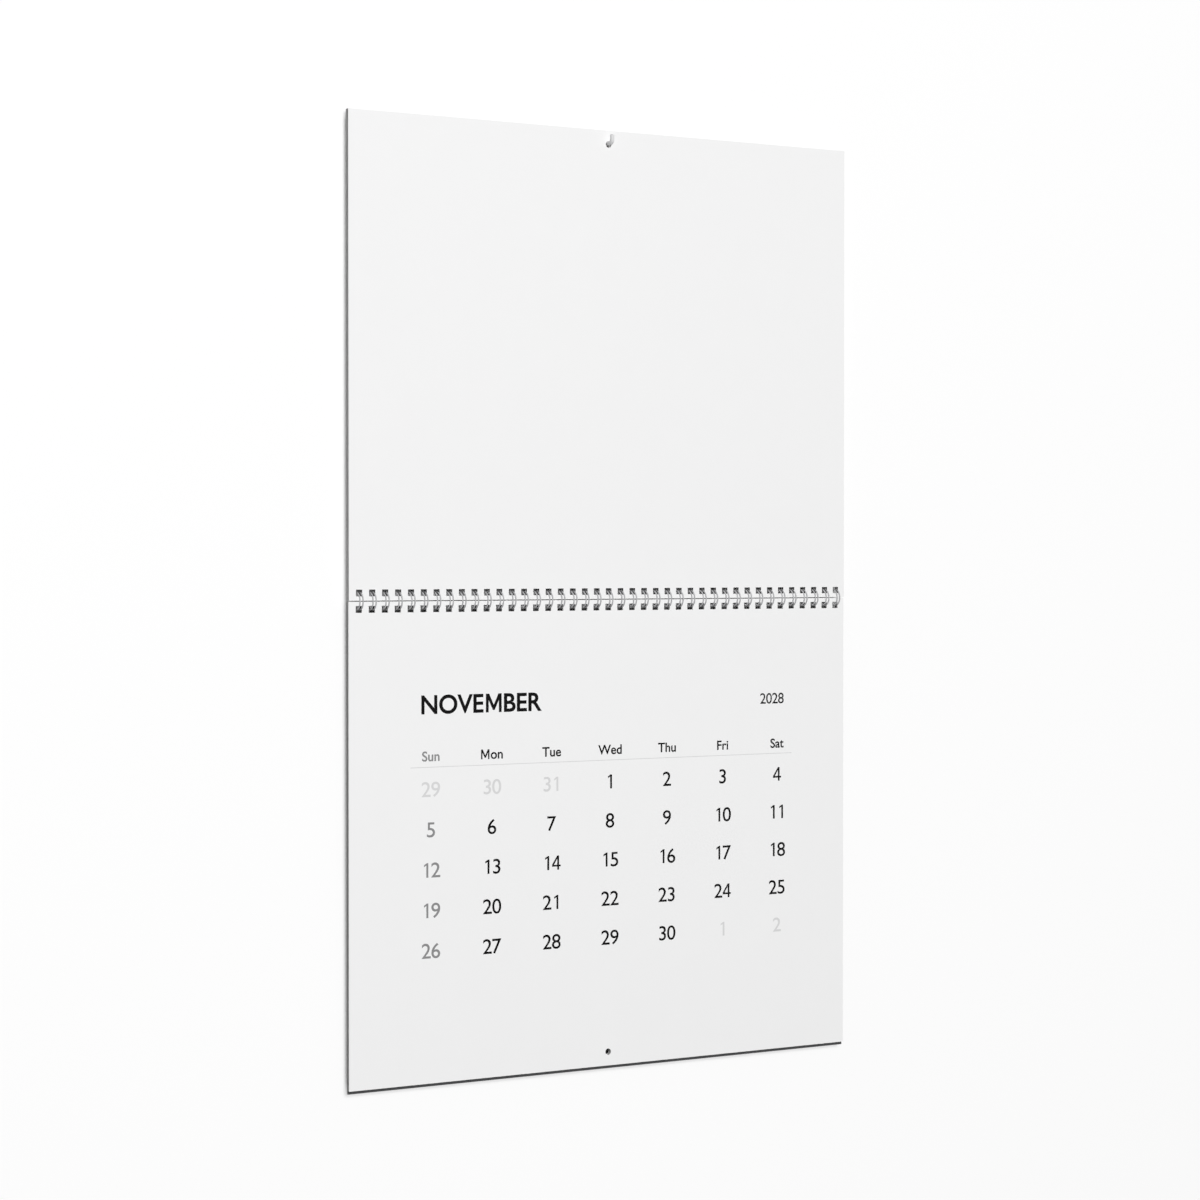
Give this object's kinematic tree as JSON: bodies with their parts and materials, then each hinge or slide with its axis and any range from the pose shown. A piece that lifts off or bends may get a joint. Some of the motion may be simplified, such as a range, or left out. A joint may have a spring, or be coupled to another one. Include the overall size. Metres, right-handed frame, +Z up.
{
  "type": "wall calendar",
  "caption": "Open wall calendar with twin-loop wire binding: blank upper page, month grid on the lower page, grey back board, hanging hook.",
  "frame": {"origin": "on the wall, on the axis of the hook that carries the calendar", "axes": "+X along the wall to the right as seen from the front, +Y into the wall, +Z up"},
  "size_m": [0.352, 0.0254, 0.5847],
  "materials": {
    "leaf_paper": "matt coated white",
    "cover_card": "satin coated white",
    "grey_board": "lined with dark grey paper, pale core at the cut edges",
    "binding_wire": "light grey nylon coating",
    "hook": "white enamel"
  },
  "bodies": {
    "upper_half": {"wall_hook": "hook", "front_cover": "cover_card", "turned_sheets": "leaf_paper"},
    "binding": {"wire_binding": "binding_wire"},
    "lower_half": {"coming_sheets": "leaf_paper", "back_board": "grey_board"},
    "month": {"month_sheet": "leaf_paper"}
  },
  "joints": [
    {"name": "lower_half_fold", "type": "hinge", "parent": "upper_half", "child": "lower_half", "pos_m": [0, -0.00746, -0.28349], "axis": [-1, 0, 0], "range_deg": [0, 177]},
    {"name": "month_turn", "type": "hinge", "parent": "lower_half", "child": "month", "pos_m": [0, -0.00746, -0.28349], "axis": [1, 0, 0], "range_deg": [-178, 0]},
    {"name": "binding_roll", "type": "hinge", "parent": "upper_half", "child": "binding", "pos_m": [0, -0.00667, -0.2823], "axis": [-1, 0, 0], "range_deg": [0, 89]}
  ],
  "couplings": [
    {"joint": "binding_roll", "follows": "lower_half_fold", "ratio": 0.5}
  ]
}
